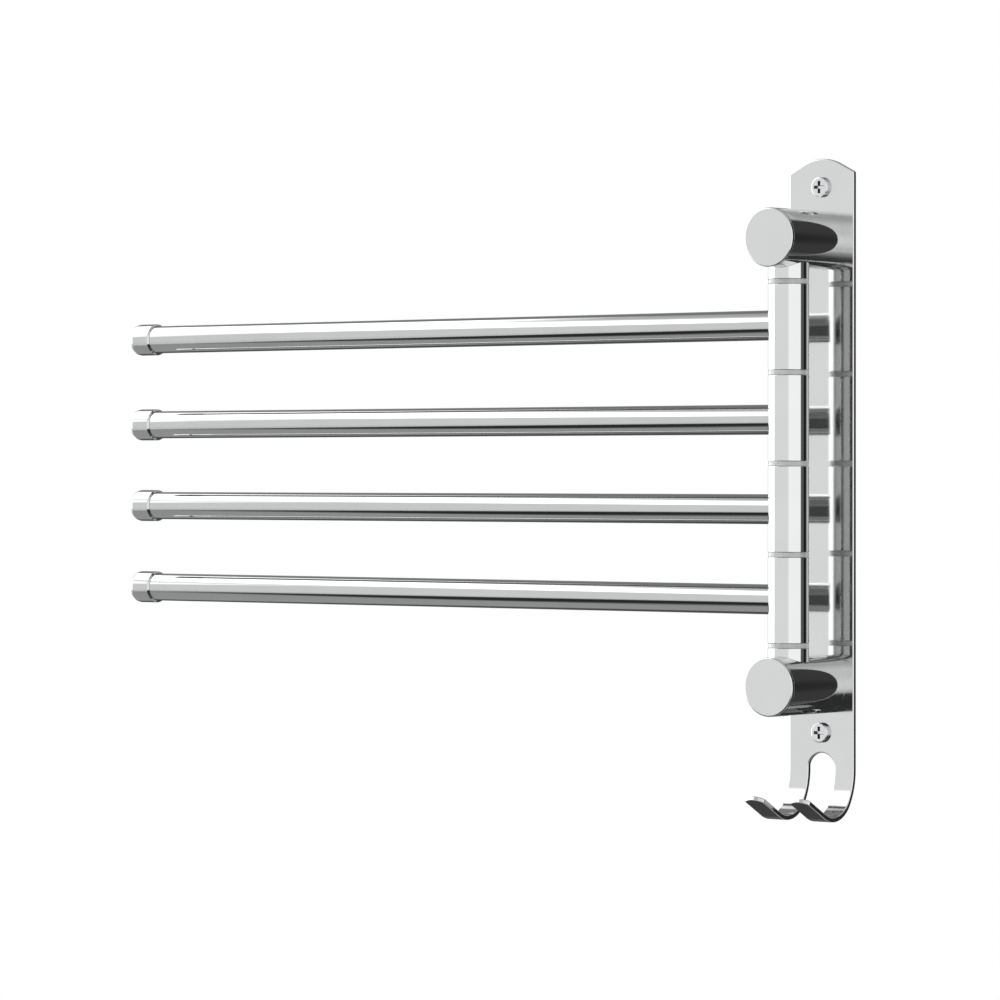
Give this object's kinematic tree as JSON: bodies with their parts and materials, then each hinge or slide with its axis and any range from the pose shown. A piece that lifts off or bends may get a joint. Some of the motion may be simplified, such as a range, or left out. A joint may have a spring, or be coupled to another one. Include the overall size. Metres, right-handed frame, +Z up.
{
  "type": "swing arm towel bar",
  "caption": "Wall-mounted polished steel towel bar: tube arms swing on a shared upright pivot held between posts, on a strip back plate whose lower end is bent into coat hooks.",
  "frame": {"origin": "on the back face of the plate, at its centre line, level with the middle of the four sleeves", "axes": "+Y into the wall, -Y into the room, +Z up, +X to the right seen from the room; the folded arms point along -X"},
  "size_m": [0.3959, 0.0583, 0.2808],
  "materials": {
    "polished_steel": "mirror polished",
    "machined_steel": "turned",
    "plated_screw": "bright plated",
    "nylon": "satin natural nylon"
  },
  "bodies": {
    "wall_frame": {"back_plate": "polished_steel", "upper_post": "polished_steel", "lower_post": "polished_steel", "upper_post_cap": "polished_steel", "lower_post_cap": "polished_steel", "upper_post_plug": "machined_steel", "lower_post_plug": "machined_steel", "upper_post_screw": "machined_steel", "lower_post_screw": "machined_steel", "upper_collar": "polished_steel", "lower_collar": "polished_steel", "pivot_rod": "machined_steel", "upper_wall_screw": "plated_screw", "lower_wall_screw": "plated_screw", "washer_1": "nylon", "washer_2": "nylon", "washer_3": "nylon", "washer_4": "nylon", "washer_5": "nylon"},
    "arm_1": {"sleeve_1": "polished_steel", "arm_tube_1": "polished_steel", "end_cap_1": "polished_steel", "upper_bush_1": "nylon", "lower_bush_1": "nylon"},
    "arm_2": {"sleeve_2": "polished_steel", "arm_tube_2": "polished_steel", "end_cap_2": "polished_steel", "upper_bush_2": "nylon", "lower_bush_2": "nylon"},
    "arm_3": {"sleeve_3": "polished_steel", "arm_tube_3": "polished_steel", "end_cap_3": "polished_steel", "upper_bush_3": "nylon", "lower_bush_3": "nylon"},
    "arm_4": {"sleeve_4": "polished_steel", "arm_tube_4": "polished_steel", "end_cap_4": "polished_steel", "upper_bush_4": "nylon", "lower_bush_4": "nylon"}
  },
  "joints": [
    {"name": "arm_1_swing", "type": "hinge", "parent": "wall_frame", "child": "arm_1", "pos_m": [-0.0012, -0.024, 0.0576], "axis": [0, 0, 1], "range_deg": [0, 180]},
    {"name": "arm_2_swing", "type": "hinge", "parent": "wall_frame", "child": "arm_2", "pos_m": [-0.0012, -0.024, 0.0192], "axis": [0, 0, 1], "range_deg": [0, 180]},
    {"name": "arm_3_swing", "type": "hinge", "parent": "wall_frame", "child": "arm_3", "pos_m": [-0.0012, -0.024, -0.0192], "axis": [0, 0, 1], "range_deg": [0, 180]},
    {"name": "arm_4_swing", "type": "hinge", "parent": "wall_frame", "child": "arm_4", "pos_m": [-0.0012, -0.024, -0.0576], "axis": [0, 0, 1], "range_deg": [0, 180]}
  ]
}
